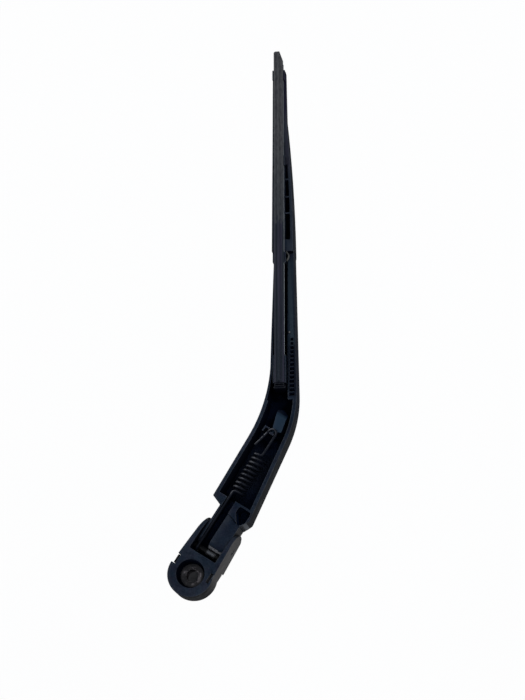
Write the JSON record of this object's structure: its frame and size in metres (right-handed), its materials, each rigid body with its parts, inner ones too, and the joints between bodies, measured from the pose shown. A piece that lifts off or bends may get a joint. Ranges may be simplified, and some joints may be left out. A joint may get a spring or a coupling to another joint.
{
  "type": "rear wiper arm",
  "caption": "Bent channel wiper arm that folds on a splined pivot head against a tension spring and carries a rocking rubber blade.",
  "frame": {"origin": "glass-side end of the bore in the splined insert, on the spindle's axis", "axes": "+Z leaves the bore towards the glass, +Y runs along the blade to its tip, +X is to the right as the arm lies on its outer face"},
  "size_m": [0.0924, 0.4151, 0.0302],
  "materials": {
    "black_plastic": "satin moulded black plastic, scuffed and dusty",
    "bush_plastic": "plain grey plastic",
    "pin_steel": "plain drawn steel",
    "insert_steel": "dull steel with light rust",
    "spring_steel": "black coated spring wire",
    "rail_steel": "bright rolled strip",
    "rubber": "weathered matt rubber"
  },
  "bodies": {
    "head": {"pivot_head": "black_plastic", "spline_insert": "insert_steel", "nut_cover": "black_plastic", "anchor_pin": "pin_steel", "hinge_stub_left": "pin_steel", "hinge_stub_right": "pin_steel"},
    "spring": {"tension_spring": "spring_steel"},
    "arm": {"arm_channel": "black_plastic", "pivot_pin": "pin_steel"},
    "blade": {"blade_carrier": "black_plastic", "pivot_bush": "bush_plastic", "squeegee": "rubber", "rail_left": "rail_steel", "rail_right": "rail_steel", "heel_plug": "black_plastic"}
  },
  "joints": [
    {"name": "arm_fold", "type": "hinge", "parent": "head", "child": "arm", "pos_m": [0.01607, 0.02474, -0.005], "axis": [-0.8387, 0.5446, 0], "range_deg": [0, 44], "stiffness_Nm_per_rad": 0.5, "springref_deg": -85.94},
    {"name": "spring_swing", "type": "hinge", "parent": "head", "child": "spring", "pos_m": [0.00419, 0.02077, -0.0003], "axis": [-0.8387, 0.5446, 0], "range_deg": [0, 39.5], "deforming": ["tension_spring"]},
    {"name": "blade_pivot", "type": "hinge", "parent": "arm", "child": "blade", "pos_m": [0.064, 0.233, -0.0055], "axis": [1, 0, 0], "range_deg": [-12, 2.5]}
  ],
  "couplings": [
    {"joint": "spring_swing", "follows": "arm_fold", "ratio": 0.8934}
  ]
}
